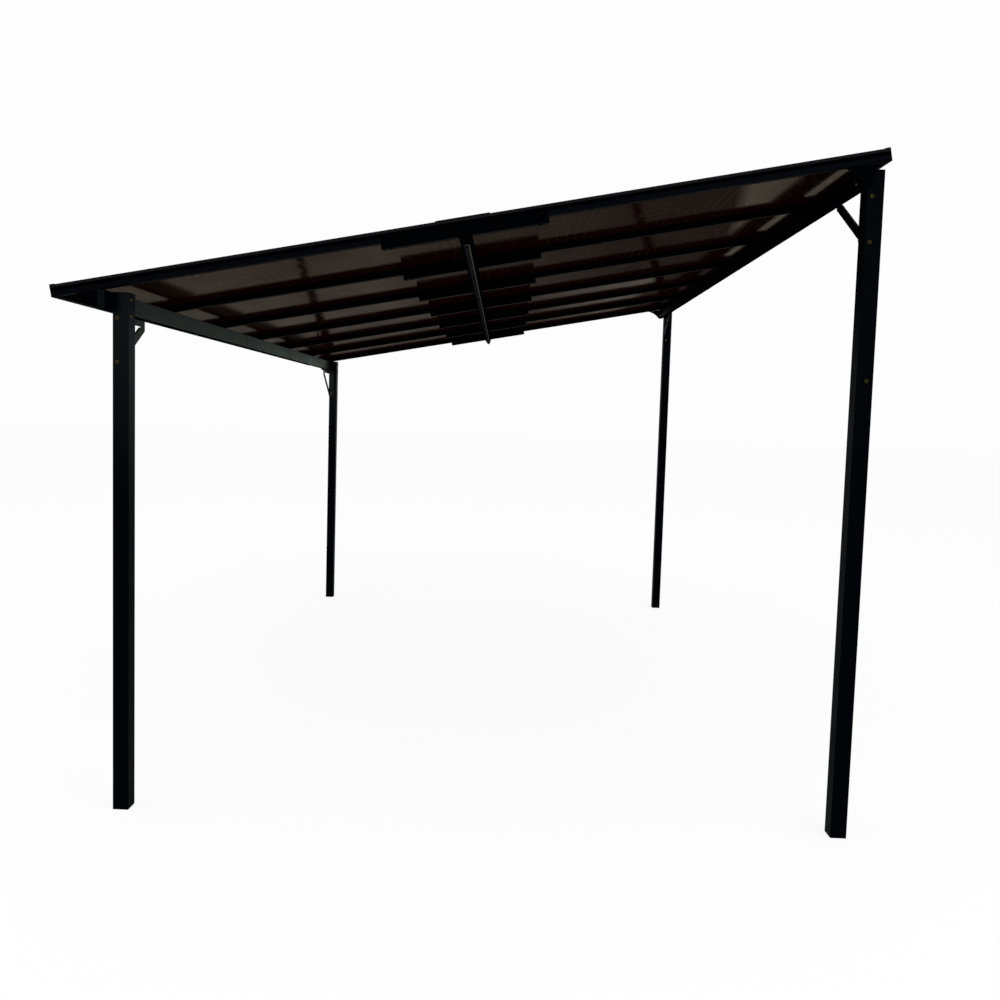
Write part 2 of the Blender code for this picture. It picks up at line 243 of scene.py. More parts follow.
LIT_LOW_POST_COAT = coated_steel("lit_navy_coat", NAVY, dust=0.5, roughness=COAT_ROUGHNESS,
                             specular=COAT_SPECULAR, gloss=LOW_POST_GLOSS,
                             gloss_roughness=POST_GLOSS_ROUGHNESS)
SHADED_HIGH_POST_COAT = coated_steel("shaded_navy_coat", NAVY, dust=0.5, roughness=COAT_ROUGHNESS,
                              specular=COAT_SPECULAR, gloss=HIGH_POST_GLOSS,
                              gloss_roughness=POST_GLOSS_ROUGHNESS)
for row, side in CORNERS:
    corner = row + "_" + side
    build = node_copy("post_" + corner)
    round_edges(build, POST_CORNER, 3, lambda edge: on_hull(edge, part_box("post_" + corner), 2))
    # The low posts take the glossier lit copy, the high posts the duller shaded copy: painted light and
    # shade.
    coat = LIT_LOW_POST_COAT if side == "low" else SHADED_HIGH_POST_COAT
    finish_piece("post_tube_" + corner, build, (coat,), "frame", "post_" + corner)

# Side beams: rectangular tubes in two lengths a side, butted over a hidden connector and
# bolted to the downhill face of the posts. A black plastic plug closes each outer end. The
# low pair's coat is painted a lighter grey-green with a green-tinted sheen: a painted
# reflection on their lit faces. The high pair and its plugs are darker, flatter copies:
# painted shade. Each beam's underside, its stub past the post and a thin strip at its joint
# take a flat coat without gloss: painted shade.
BEAM_CORNER = 0.003
LIT_BEAM_GREY = (0.0170, 0.0185, 0.0178)
BEAM_SHEEN = 0.45
BEAM_SHEEN_GREEN = (0.86, 1.0, 0.92)
SHADED_BEAM_BLACK = (0.0002, 0.0003, 0.0007)
FACES_DOWN = -0.25
JOINT_SHADE = 0.003
PLUG_PROUD = 0.0015
PLUG_MARGIN = 0.0008
PLUG_EDGE = 0.0006
PLUG_BLACK = (0.0012, 0.0013, 0.0018)
PLUG_ROUGHNESS = 0.5
PLUG_SPECULAR = 0.03
ROUGHNESS_SPREAD = 0.08


def rounded_block(low, high, radius):
    """A solid block with all its edges rounded."""
    build = bmesh.new()
    bmesh.ops.create_cube(build, size=1.0)
    bmesh.ops.scale(build, vec=Vector(high) - Vector(low), verts=build.verts)
    bmesh.ops.translate(build, vec=(Vector(high) + Vector(low)) / 2, verts=build.verts)
    build.normal_update()
    round_edges(build, radius, 2)
    return build


def cut_mesh(build, parts, point, normal):
    """Splits these faces, edges and corners of the mesh along a plane."""
    bmesh.ops.bisect_plane(build, geom=parts, plane_co=point, plane_no=normal)


def moulded_plastic(name, colour, roughness, specular):
    """Black moulded plastic with a faint grain."""
    material, tree, shader = new_material(name, {"Base Color": (*colour, 1.0),
                                                 "Specular IOR Level": specular})
    place = tree.nodes.new("ShaderNodeTexCoord").outputs["Object"]
    grain = noise_at(tree, place, Scale=900.0, Detail=2.0)
    spread = ramp(tree, grain, 0.0, 1.0, roughness - ROUGHNESS_SPREAD, roughness + ROUGHNESS_SPREAD)
    skin = add_node(tree, "ShaderNodeBump", inputs={"Strength": 0.15, "Distance": 0.0004})
    tree.links.new(spread, shader.inputs["Roughness"])
    tree.links.new(grain, skin.inputs["Height"])
    tree.links.new(skin.outputs["Normal"], shader.inputs["Normal"])
    return material


# Lit and shaded copies: the low beams and plugs take the lighter, glossier coats, the high ones darker,
# flatter copies as painted shade; the low coat's green-tinted sheen is a painted reflection.
LOW_PLUG_PLASTIC = moulded_plastic("black_plug_plastic", PLUG_BLACK, PLUG_ROUGHNESS, PLUG_SPECULAR)
SHADED_HIGH_PLUG_PLASTIC = moulded_plastic("shaded_black_plug_plastic", SHADED_BEAM_BLACK, PLUG_ROUGHNESS, COAT_SPECULAR)
LIT_LOW_BEAM_COAT = coated_steel("lit_beam_coat_green_sheen", LIT_BEAM_GREY, dust=0.5, roughness=COAT_ROUGHNESS, specular=0.0)
low_beam_shader = LIT_LOW_BEAM_COAT.node_tree.nodes["Principled BSDF"]
low_beam_shader.inputs["Metallic"].default_value = BEAM_SHEEN
low_beam_shader.inputs["Specular Tint"].default_value = (*BEAM_SHEEN_GREEN, 1.0)
SHADED_HIGH_BEAM_COAT = coated_steel("shaded_high_beam_coat", SHADED_BEAM_BLACK, dust=0.5, roughness=COAT_ROUGHNESS,
                              specular=COAT_SPECULAR)
BEAM_SHADE_COAT = coated_steel("flat_beam_shade_coat", NAVY, dust=0.1, roughness=0.6, specular=0.0)
for side, coat, plastic in (("low", LIT_LOW_BEAM_COAT, LOW_PLUG_PLASTIC),
                            ("high", SHADED_HIGH_BEAM_COAT, SHADED_HIGH_PLUG_PLASTIC)):
    for row in ("front", "back"):
        beam = side + "_" + row
        low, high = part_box("side_beam_" + beam)
        post_low, post_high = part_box("post_" + row + "_" + side)
        front = row == "front"
        past_post = post_low.y if front else post_high.y
        joint = high.y - JOINT_SHADE if front else low.y + JOINT_SHADE
        build = node_copy("side_beam_" + beam)
        round_edges(build, BEAM_CORNER, 3, lambda edge: on_hull(edge, (low, high), 1))
        for cut in (past_post, joint):
            cut_mesh(build, build.verts[:] + build.edges[:] + build.faces[:], (0, cut, 0), (0, 1, 0))
        # Faces that look down, the stub past the post and the strip at the joint take the flat coat: painted
        # shade.
        for face in build.faces:
            y = face.calc_center_median().y
            shaded = y < min(past_post, joint) or y > max(past_post, joint)
            face.material_index = 1 if shaded or face.normal.z < FACES_DOWN else 0
        finish_piece("beam_tube_" + beam, build, (coat, BEAM_SHADE_COAT), "frame", "side_beam_" + beam)

        ends = (low.y - PLUG_PROUD, low.y) if front else (high.y, high.y + PLUG_PROUD)
        plug = rounded_block((low.x + PLUG_MARGIN, ends[0], low.z + PLUG_MARGIN),
                             (high.x - PLUG_MARGIN, ends[1], high.z - PLUG_MARGIN), PLUG_EDGE)
        finish_piece("beam_plug_" + beam, plug, (plastic,), "frame")

# Knee braces: stamped and folded steel brackets that stiffen each corner between a post
# and its side beam. The sheared edges are slightly broken, and they take the beams' lit and
# shaded coats, painted light and shade. A dark strip in the beams' flat shade coat fills the
# gap between each low bracket's seat and its beam.
SHEET_EDGE = 0.0007
GAP_STRIP_INSET = 0.001
GAP_STRIP_CLEARANCE = 0.0003
GAP_STRIP_EDGE = 0.0008
BRACE_SEAT_WIDTH = 0.022
for row, side in CORNERS:
    corner = row + "_" + side
    build = node_copy("knee_brace_" + corner)
    round_edges(build, SHEET_EDGE, 2)
    coat = LIT_LOW_BEAM_COAT if side == "low" else SHADED_HIGH_BEAM_COAT
    finish_piece("brace_angle_" + corner, build, (coat,), "frame", "knee_brace_" + corner)
    if side == "low":
        low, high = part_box("knee_brace_" + corner)
        under_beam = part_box("side_beam_low_" + row)[0].z
        strip = rounded_block((low.x + GAP_STRIP_INSET, low.y + GAP_STRIP_INSET, high.z + GAP_STRIP_CLEARANCE),
                              (low.x + BRACE_SEAT_WIDTH, high.y - GAP_STRIP_INSET, under_beam - GAP_STRIP_CLEARANCE),
                              GAP_STRIP_EDGE)
        finish_piece("gap_strip_" + corner, strip, (BEAM_SHADE_COAT,), "frame")

# Rafters: seven rolled steel sections in two halves each. Their flange covers the panels'
# edges from above. The outer ones carry a groove along the outside, painted black in its
# depth as painted shade, with a navy face below it and a duller grey rim above. The coat under
# the roof is flat black.
RAFTERS_IN_ROOF = 7
ROOF_PITCH = math.radians(10.4)
RAFTER_BLACK = (0.0003, 0.0004, 0.0008)
EDGE_NAVY = (0.0007, 0.0013, 0.0023)
RIM_GREY = (0.0060, 0.0048, 0.0060)
GROOVE_SHADE_BLACK = (0.0002, 0.0002, 0.0003)
FACE_TOP = 0.020
GROOVE_TOP = 0.034
GROOVE_DEPTH = 0.010
SLEEVE_DROP = 0.025
RAFTER_EDGE = 0.0008
RAFTER_COAT = coated_steel("flat_black_coat", RAFTER_BLACK, dust=0.3, roughness=0.55, specular=0.003)
EDGE_COAT = coated_steel("edge_rafter_coat", EDGE_NAVY, dust=0.3, roughness=0.45, specular=0.008)
RIM_COAT = coated_steel("rim_coat", RIM_GREY, dust=0.6, roughness=0.50, specular=0.015)
GROOVE_SHADE_COAT = coated_steel("groove_painted_shade", GROOVE_SHADE_BLACK, dust=0.1, roughness=0.70, specular=0.004)
EDGE_RAFTER_COATS = (EDGE_COAT, RAFTER_COAT, RIM_COAT, GROOVE_SHADE_COAT)


def roof_matrix():
    """The roof's own frame: X up the slope, Z square to the panels, under the middle of the rafters."""
    low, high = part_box("splice_sleeve_4")
    turn = Matrix.Rotation(-ROOF_PITCH, 4, "Y")
    middle = Vector((0, 0, (FACE_TOP - SLEEVE_DROP) / 2))
    return Matrix.Translation((low + high) / 2 - turn @ middle) @ turn


ROOF = roof_matrix()
TO_ROOF = ROOF.inverted()
ROOF_TURN = ROOF.to_3x3().to_4x4()
ROOF_END = max(abs(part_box("rafter_1_low")[0].y), abs(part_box("rafter_7_low")[1].y))


def edge_rafter_coat(face):
    """The coat on a face of an outer rafter, by how high and how deep the face lies."""
    spot = TO_ROOF @ face.calc_center_median()
    depth = ROOF_END - abs(spot.y)
    if spot.z < 2 * SAME_PLACE or depth > GROOVE_DEPTH + SAME_PLACE:
        return RAFTER_COAT
    if depth < SAME_PLACE and spot.z < FACE_TOP:
        return EDGE_COAT
    # The groove's faces take the black of painted shade.
    if FACE_TOP - SAME_PLACE < spot.z < GROOVE_TOP + SAME_PLACE:
        return GROOVE_SHADE_COAT
    return RIM_COAT


for number in range(1, RAFTERS_IN_ROOF + 1):
    at_edge = number in (1, RAFTERS_IN_ROOF)
    for half in ("low", "high"):
        node = "rafter_" + str(number) + "_" + half
        build = node_copy(node)
        if at_edge:
            for face in build.faces:
                face.material_index = EDGE_RAFTER_COATS.index(edge_rafter_coat(face))
        round_edges(build, RAFTER_EDGE, 2)
        finish_piece("rolled_" + node, build, EDGE_RAFTER_COATS if at_edge else (RAFTER_COAT,), "frame", node)

# Splice sleeves: folded steel saddles under the middle of the rafters, which bridge the
# butt joint of the two halves. They are coated in the rafters' flat black, and a dark screw
# near each end holds them.
SCREW_RADIUS = 0.0062
SCREW_TOP_RADIUS = SCREW_RADIUS * 0.72
SCREW_SIDES = 16
SCREW_HEIGHT = 0.0022
SCREW_FROM_END = 0.040
SCREW_BLACK = (0.0003, 0.0003, 0.0004)
SCREW_COAT = coated_steel("dark_screw", SCREW_BLACK, dust=0.1, roughness=0.60, specular=0.0)
DOWNWARD = ROOF_TURN @ Matrix.Rotation(math.pi, 4, "X")


def stand_cone(build, spot, turn, radius, top_radius, height, sides):
    """A cone or a prism that stands on the spot, along the turned Z axis."""
    made = bmesh.ops.create_cone(build, cap_ends=True, segments=sides, radius1=radius, radius2=top_radius,
                                 depth=height)
    seat = Matrix.Translation(spot) @ turn @ Matrix.Translation((0, 0, height / 2))
    bmesh.ops.transform(build, matrix=seat, verts=made["verts"])


screws = bmesh.new()
for number in range(1, RAFTERS_IN_ROOF + 1):
    node = "splice_sleeve_" + str(number)
    build = node_copy(node)
    round_edges(build, RAFTER_EDGE, 2)
    finish_piece("folded_" + node, build, (RAFTER_COAT,), "frame", node)
    low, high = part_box(node)
    half_length = (high.x - low.x) / 2 / math.cos(ROOF_PITCH) - SCREW_FROM_END
    for along in (-half_length, half_length):
        spot = ROOF @ Vector((along, 0, -SLEEVE_DROP))
        spot.y = (low.y + high.y) / 2
        stand_cone(screws, spot, DOWNWARD, SCREW_RADIUS, SCREW_TOP_RADIUS, SCREW_HEIGHT, SCREW_SIDES)
finish_piece("sleeve_screws", screws, (SCREW_COAT,), "frame")

# Centre channel: one folded channel from front to back below the sleeves. Its bottom is
# paler than its dark flanks, and its uphill fold and a short strip at each end of the bottom
# are a bright cream. A dark screw fixes it below each sleeve, and a black plug closes each
# open end.
CHANNEL_GREY = (0.0064, 0.0074, 0.0072)
CHANNEL_FLANK = (0.0005, 0.0009, 0.0015)
FOLD_CREAM = (0.046, 0.044, 0.034)
FOLD_WIDTH = 0.0042
BRIGHT_END = 0.007
INSIDE_HALF_TOP = 0.0235
INSIDE_HALF_FOOT = 0.0085
INSIDE_DEPTH = 0.031
INSIDE_LIFT = 0.0025
PLUG_SET_IN = 0.004
PLUG_LENGTH = 0.015
CHANNEL_SCREW_HEIGHT = 0.0055
FLANK_COAT = coated_steel("channel_flank_coat", CHANNEL_FLANK, dust=0.1, roughness=0.45, specular=0.0)
BOTTOM_COAT = coated_steel("pale_channel_coat", CHANNEL_GREY, dust=0.1, roughness=0.42, specular=0.0)
FOLD_COAT = coated_steel("bright_fold_coat", FOLD_CREAM, dust=0.0, roughness=0.50, specular=0.0)
CHANNEL_COATS = (FLANK_COAT, BOTTOM_COAT, FOLD_COAT)
build = node_copy("centre_channel")
corners = [TO_ROOF @ vert.co for vert in build.verts]
channel_bottom = min(corner.z for corner in corners)
channel_edge = max(corner.x for corner in corners if corner.z < channel_bottom + SAME_PLACE)
up_slope = ROOF.to_3x3() @ Vector((1, 0, 0))


def on_bottom(face):
    """True for a face on the channel's bottom."""
    return (TO_ROOF @ face.calc_center_median()).z < channel_bottom + SAME_PLACE


def bottom_parts(build):
    """The faces of the channel's bottom with their edges and corners."""
    faces = [face for face in build.faces if on_bottom(face)]
    edges = {edge for face in faces for edge in face.edges}
    verts = {vert for face in faces for vert in face.verts}
    return faces + list(edges) + list(verts)


def draw_out(build, faces, move):
    """Extrudes the faces and moves the new end."""
    drawn = bmesh.ops.extrude_face_region(build, geom=faces)
    moved = [part for part in drawn["geom"] if isinstance(part, bmesh.types.BMVert)]
    bmesh.ops.translate(build, vec=move, verts=moved)


round_edges(build, RAFTER_EDGE, 2)
cut_mesh(build, bottom_parts(build), ROOF @ Vector((channel_edge - FOLD_WIDTH, 0, channel_bottom)), up_slope)
for outward in (-1, 1):
    cut_mesh(build, bottom_parts(build), (0, outward * (ROOF_END - BRIGHT_END), 0), (0, 1, 0))
for face in build.faces:
    spot = TO_ROOF @ face.calc_center_median()
    bright_strip = spot.x > channel_edge - FOLD_WIDTH or abs(spot.y) > ROOF_END - BRIGHT_END
    if on_bottom(face):
        face.material_index = CHANNEL_COATS.index(FOLD_COAT if bright_strip else BOTTOM_COAT)
finish_piece("folded_centre_channel", build, CHANNEL_COATS, "frame", "centre_channel")

plugs = bmesh.new()
for outward in (-1, 1):
    outline = []
    for across, up in ((-INSIDE_HALF_FOOT, 0), (INSIDE_HALF_FOOT, 0), (INSIDE_HALF_TOP, INSIDE_DEPTH),
                       (-INSIDE_HALF_TOP, INSIDE_DEPTH)):
        spot = ROOF @ Vector((across, 0, channel_bottom + INSIDE_LIFT + up))
        spot.y = outward * (ROOF_END - PLUG_SET_IN)
        outline.append(plugs.verts.new(spot))
    draw_out(plugs, [plugs.faces.new(outline)], (0, -outward * PLUG_LENGTH, 0))
bmesh.ops.recalc_face_normals(plugs, faces=plugs.faces)
finish_piece("channel_plugs", plugs, (SCREW_COAT,), "frame")

screws = bmesh.new()
for number in range(1, RAFTERS_IN_ROOF + 1):
    low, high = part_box("splice_sleeve_" + str(number))
    spot = ROOF @ Vector((0, 0, channel_bottom))
    spot.y = (low.y + high.y) / 2
    stand_cone(screws, spot, DOWNWARD, SCREW_RADIUS, SCREW_TOP_RADIUS, CHANNEL_SCREW_HEIGHT, SCREW_SIDES)
finish_piece("channel_screws", screws, (SCREW_COAT,), "frame")

# Corner gussets: small steel plates in the angle between the edge rafters and the side
# beams, at the front and the back. The free edge is cut hollow.
GUSSET_ALONG = 0.090
GUSSET_THICKNESS = 0.003
GUSSET_OFF = 0.0004
GUSSET_TIP_RISE = 0.004
GUSSET_SAG = 0.009
GUSSET_STEPS = 8


def under_rafter(x):
    """A corner just below the edge rafter's straight underside."""
    height = ROOF.translation.z + (x - ROOF.translation.x) * math.tan(ROOF_PITCH)
    return Vector((x, 0, height - GUSSET_OFF))


gussets = bmesh.new()
for side in ("low", "high"):
    for row in ("front", "back"):
        low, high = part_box("side_beam_" + side + "_" + row)
        right = low.x - GUSSET_OFF
        near = under_rafter(right)
        far = under_rafter(right - GUSSET_ALONG * math.cos(ROOF_PITCH))
        tip = Vector((right, 0, low.z + GUSSET_TIP_RISE))
        across = (far - tip).normalized()
        inward = Vector((-across.z, 0, across.x))
        if inward.dot(near - tip) < 0:
            inward = -inward
        outline = [near]
        for step in range(GUSSET_STEPS + 1):
            share = step / GUSSET_STEPS
            outline.append(far.lerp(tip, share) + inward * GUSSET_SAG * math.sin(math.pi * share))
        outer, thick = (low.y, GUSSET_THICKNESS) if row == "front" else (high.y, -GUSSET_THICKNESS)
        face = gussets.faces.new([gussets.verts.new((point.x, outer, point.z)) for point in outline])
        draw_out(gussets, [face], (0, thick, 0))
bmesh.ops.recalc_face_normals(gussets, faces=gussets.faces)
finish_piece("corner_gussets", gussets, (RAFTER_COAT,), "frame")

# Eave channels and edge covers: folded steel trims that close the rafters' low and high
# ends and cover the joint between the halves of each outer rafter.
for trim, coat in (("eave_channel_low", RAFTER_COAT), ("eave_channel_high", RAFTER_COAT),
                   ("edge_cover_front", RIM_COAT), ("edge_cover_back", RIM_COAT)):
    build = node_copy(trim)
    round_edges(build, SHEET_EDGE, 2)
    finish_piece("folded_" + trim, build, (coat,), "frame", trim)

# Roof panels: thin sheets with a glossy printed film of dark mahogany on both faces, held
# in the slots of the rafters. The sheets are not quite flat, so reflections waver in them.
# Under the roof the film's gloss is set place by place and tinted warm: painted reflections.
PANELS_IN_ROOF = 6
PANEL_THICKNESS = 0.006
PANEL_SPACING = 0.74
PANEL_GRID = 0.026
PANEL_WAVE = 0.00022
WAVES_ALONG = 4.0
WAVES_ACROSS = 1.6
WAVE_SHIFT = 7.0
SMOOTH_ANGLE = math.radians(30)
GRAIN_DARK = (0.0030, 0.0005, 0.0004)
GRAIN_MID = (0.0048, 0.0007, 0.0006)
GRAIN_LINE = (0.0112, 0.0036, 0.0022)
BOARD_SHIFT = 0.37
RING_SPACING = 0.039
EYE_PITCH = 0.66
EYE_REACH_ALONG = 0.22
EYE_REACH_ACROSS = 0.27
EYE_STRAY = 0.09
RINGS_IN_EYE = 5.0
WANDER = 1.6
LINE_EDGES = (0.02, 0.13)
LINES_SHOWN = (0.42, 0.60)
FAINTEST_LINE = 0.12
FIBRE_SCALE = (260.0, 7.0, 60.0)
FIBRE_SPREAD = (0.1, 0.9)
HAZE_SCALE = (3.4, 0.9, 1.0)
HAZE_SPREAD = (0.30, 0.70)
HAZE_GLOSS = (0.78, 1.20)
FILM_GLOSS = 0.100
FILM_REFLECTION_WARMTH = (1.0, 0.89, 0.74)
FILM_ROUGHNESS = 0.10
LINE_GLOSS = 0.40
TOP_GLOSS = 0.70
# Gloss set place by place over the roof: painted reflections.
GLOSS_ALONG_SLOPE = ((-1.6, 1.0), (-0.5, 0.93), (0.3, 0.52), (0.9, 0.27), (1.6, 0.26))
RISE_SPAN = (1.495, 1.555)
RISE_SKEW = 0.20
RISE_GLOSS = 1.30
FAR_ROWS = (0.0, 0.3)
FAR_STREAK_START = (0.3, 0.9)
FAR_STREAK_END = (1.12, 1.20)
FAR_GLOSS = 1.00


def stretched(tree, place, scale):
    """A place in space that is scaled differently along each axis."""
    node = add_node(tree, "ShaderNodeMapping", inputs={"Scale": scale})
    tree.links.new(place, node.inputs["Vector"])
    return node.outputs["Vector"]


def eye_distance(group, value, pitch, offset, reach):
    """How far a place is from the eye of its stretch along one axis, squared, in shares of the reach."""
    share = math_node(group, "FRACT", math_node(group, "DIVIDE", value, pitch))
    centred = math_node(group, "MULTIPLY", math_node(group, "SUBTRACT", share, 0.5), pitch)
    chance = math_node(group, "SUBTRACT", offset, 0.5)
    strayed = math_node(group, "MULTIPLY_ADD", chance, -2 * EYE_STRAY, centred)
    away = math_node(group, "DIVIDE", strayed, reach)
    return math_node(group, "MULTIPLY", away, away)


def grain_lines(group, place):
    """Flat-sawn grain lines: they run along Y, round one eye in each stretch, and come and go."""
    axes = split_axes(group, place)
    sheet = math_node(group, "FLOOR", math_node(group, "DIVIDE", axes["Y"], PANEL_SPACING))
    across = math_node(group, "MULTIPLY_ADD", sheet, BOARD_SHIFT, axes["X"])
    stretch = math_node(group, "FLOOR", math_node(group, "DIVIDE", across, EYE_PITCH))
    seed = add_node(group, "ShaderNodeCombineXYZ")
    group.links.new(stretch, seed.inputs["X"])
    group.links.new(sheet, seed.inputs["Y"])
    stray = add_node(group, "ShaderNodeTexWhiteNoise", noise_dimensions="3D")
    group.links.new(seed.outputs["Vector"], stray.inputs["Vector"])
    offsets = split_axes(group, stray.outputs["Color"])

    away = math_node(group, "ADD", eye_distance(group, across, EYE_PITCH, offsets["X"], EYE_REACH_ALONG),
                     eye_distance(group, axes["Y"], PANEL_SPACING, offsets["Y"], EYE_REACH_ACROSS))
    dome = math_node(group, "SUBTRACT", 1.0, away, clamp=True)
    swell = math_node(group, "MULTIPLY", math_node(group, "MULTIPLY", dome, dome), RINGS_IN_EYE)
    wander = noise_at(group, place, Scale=2.6, Detail=1.0, Roughness=0.3)
    drift = math_node(group, "MULTIPLY_ADD", wander, WANDER, swell)
    rings = math_node(group, "MULTIPLY_ADD", across, 1 / RING_SPACING, drift)
    share = math_node(group, "FRACT", rings)
    from_ring = math_node(group, "ABSOLUTE", math_node(group, "SUBTRACT", share, 0.5))
    line = ramp(group, from_ring, *LINE_EDGES, 1.0, 0.0, interpolation_type="SMOOTHSTEP")
    fade = noise_at(group, place, Scale=8.0, Detail=2.0)
    return math_node(group, "MULTIPLY", line, ramp(group, fade, *LINES_SHOWN, first=FAINTEST_LINE))


def reflection_over_roof(group, place):
    """Below, the gloss is a painted reflection: weaker up the slope, but stronger again on a skewed
    strip near the high beam and in a streak on the far sheets. Above, it is even."""
    axes = split_axes(group, place)
    slope_start = GLOSS_ALONG_SLOPE[0][0]
    slope_end = GLOSS_ALONG_SLOPE[-1][0]
    slope_reflection = add_node(group, "ShaderNodeValToRGB")
    for index, (spot, gloss) in enumerate(GLOSS_ALONG_SLOPE):
        share = (spot - slope_start) / (slope_end - slope_start)
        if index < len(slope_reflection.color_ramp.elements):
            stop = slope_reflection.color_ramp.elements[index]
            stop.position = share
        else:
            stop = slope_reflection.color_ramp.elements.new(share)
        stop.color = (gloss, gloss, gloss, 1.0)
    group.links.new(ramp(group, axes["X"], slope_start, slope_end), slope_reflection.inputs["Fac"])

    skewed = math_node(group, "MULTIPLY_ADD", axes["Y"], -RISE_SKEW, axes["X"])
    rise_reflection = ramp(group, skewed, *RISE_SPAN, last=RISE_GLOSS)
    on_far_rows = ramp(group, axes["Y"], *FAR_ROWS)
    streak_start = ramp(group, axes["X"], *FAR_STREAK_START)
    streak_end = ramp(group, axes["X"], *FAR_STREAK_END, 1.0, 0.0)
    streak = math_node(group, "MULTIPLY", math_node(group, "MULTIPLY", on_far_rows, streak_start), streak_end)
    lower_gloss = math_node(group, "MULTIPLY_ADD", streak, FAR_GLOSS,
                            math_node(group, "ADD", slope_reflection.outputs["Color"], rise_reflection))

    facing = group.nodes.new("ShaderNodeNewGeometry").outputs["Normal"]
    below = math_node(group, "LESS_THAN", split_axes(group, facing)["Z"], 0.0)
    more_below = math_node(group, "SUBTRACT", lower_gloss, TOP_GLOSS)
    return math_node(group, "MULTIPLY_ADD", more_below, below, TOP_GLOSS)


def grain_group():
    """Wood grain printed across the sheets, and the film's gloss, clouded, stronger on the lines and set over
    the roof as a painted reflection.
    """
    group, given, result, place = new_group(
        "flat_sawn_grain",
        (("Dark", "Color"), ("Mid", "Color"), ("Line", "Color"), ("Gloss", "Float")),
        (("Colour", "Color"), ("Gloss", "Float"), ("Lines", "Float")))
    lines = grain_lines(group, place)
    group.links.new(lines, result["Lines"])

    fibre = noise_at(group, stretched(group, place, FIBRE_SCALE), Scale=1.0, Detail=3.0, Roughness=0.6)
    ground = mix_colours(group, ramp(group, fibre, *FIBRE_SPREAD), given["Dark"], given["Mid"])
    group.links.new(mix_colours(group, lines, ground, given["Line"]), result["Colour"])

    cloud = noise_at(group, stretched(group, place, HAZE_SCALE), Scale=1.0, Detail=3.0, Roughness=0.45)
    haze = ramp(group, cloud, *HAZE_SPREAD, *HAZE_GLOSS)
    boosted = math_node(group, "MULTIPLY_ADD", lines, LINE_GLOSS, haze)
    placed_gloss = math_node(group, "MULTIPLY", boosted, reflection_over_roof(group, place))
    group.links.new(math_node(group, "MULTIPLY", placed_gloss, given["Gloss"]), result["Gloss"])
    return group


def mahogany_film():
    """A dark printed film whose gloss is tinted warm: a painted warm reflection."""
    material, tree, shader = new_material("mahogany_film", {
        "Roughness": FILM_ROUGHNESS, "Specular IOR Level": 0.0, "Specular Tint": (*FILM_REFLECTION_WARMTH, 1.0)})
    grain = add_node(tree, "ShaderNodeGroup", node_tree=grain_group())
    for socket, value in (("Dark", (*GRAIN_DARK, 1.0)), ("Mid", (*GRAIN_MID, 1.0)),
                          ("Line", (*GRAIN_LINE, 1.0)), ("Gloss", FILM_GLOSS)):
        grain.inputs[socket].default_value = value
    emboss = add_node(tree, "ShaderNodeBump", inputs={"Strength": 0.2, "Distance": 0.0005})
    tree.links.new(grain.outputs["Colour"], shader.inputs["Base Color"])
    tree.links.new(grain.outputs["Gloss"], shader.inputs["Metallic"])
    tree.links.new(grain.outputs["Lines"], emboss.inputs["Height"])
    tree.links.new(emboss.outputs["Normal"], shader.inputs["Normal"])
    return material


FILM = mahogany_film()
for number in range(1, PANELS_IN_ROOF + 1):
    node = "roof_panel_" + str(number)
    low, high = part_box(node)
    length = (high.x - low.x) / math.cos(ROOF_PITCH) - 2 * PANEL_THICKNESS * math.tan(ROOF_PITCH)
    width = high.y - low.y
    build = bmesh.new()
    bmesh.ops.create_grid(build, x_segments=round(length / PANEL_GRID), y_segments=round(width / PANEL_GRID),
                          size=0.5)
    bmesh.ops.scale(build, vec=(length, width, 1), verts=build.verts)
    for vert in build.verts:
        spot = Vector((vert.co.x * WAVES_ALONG, vert.co.y * WAVES_ACROSS, number * WAVE_SHIFT))
        vert.co.z = PANEL_WAVE * noise.noise(spot)
    draw_out(build, build.faces[:], (0, 0, PANEL_THICKNESS))
    bmesh.ops.recalc_face_normals(build, faces=build.faces)
    lift = Matrix.Translation((0, 0, -PANEL_THICKNESS / 2))
    place = Matrix.Translation((low + high) / 2) @ ROOF_TURN @ lift
    bmesh.ops.transform(build, matrix=place, verts=build.verts)
    for face in build.faces:
        face.smooth = True
    sheet = finish_piece("mahogany_sheet_" + str(number), build, (FILM,), "panel", node)
    sheet.data.set_sharp_from_angle(angle=SMOOTH_ANGLE)

# Post bolts: button-head bolts on yellow zinc washers. They hold the knee braces and the side
# beams to the posts. The outer face of each high post has one more, lower down.
ZINC_YELLOW = (0.084, 0.068, 0.020)
ZINC_GREEN = (0.068, 0.066, 0.019)
ZINC_ROSE = (0.092, 0.054, 0.026)
ZINC_ROUGHNESS = 0.38
SOCKET_SHADE_DARK = (0.010, 0.008, 0.004)
SOCKET_ROUGHNESS = 0.6
SOCKET_SPECULAR = 0.1
WASHER_RADIUS = 0.0074
WASHER_THICKNESS = 0.0014
WASHER_WALL = 0.00098
WASHER_EDGE = 0.0004
HEAD_RADIUS = 0.0060
HEAD_HEIGHT = 0.0034
HEAD_WALL = 0.3
SHOULDER_WIDTH = 0.86
SHOULDER_HEIGHT = 0.8
SOCKET_RIM = 1.15
SOCKET_RADIUS = 0.0043
SOCKET_DEPTH = 0.0028
SOCKET_REACH = 1.02
BOLT_STEPS = 24
BOLT_MERGE_DISTANCE = 0.00001
BOLT_SHARP_ANGLE = math.radians(40)
BRACE_BOLT_DROPS = (0.026, 0.200)
BEAM_BOLT_RISES = (0.050, -0.016)
BEAM_BOLT_OUT = 0.011
BEAM_BACK_BOLT_RISE = 0.028
MIDDLE_BOLT_HEIGHT = 1.84
POST_BOLT_IN = 0.019


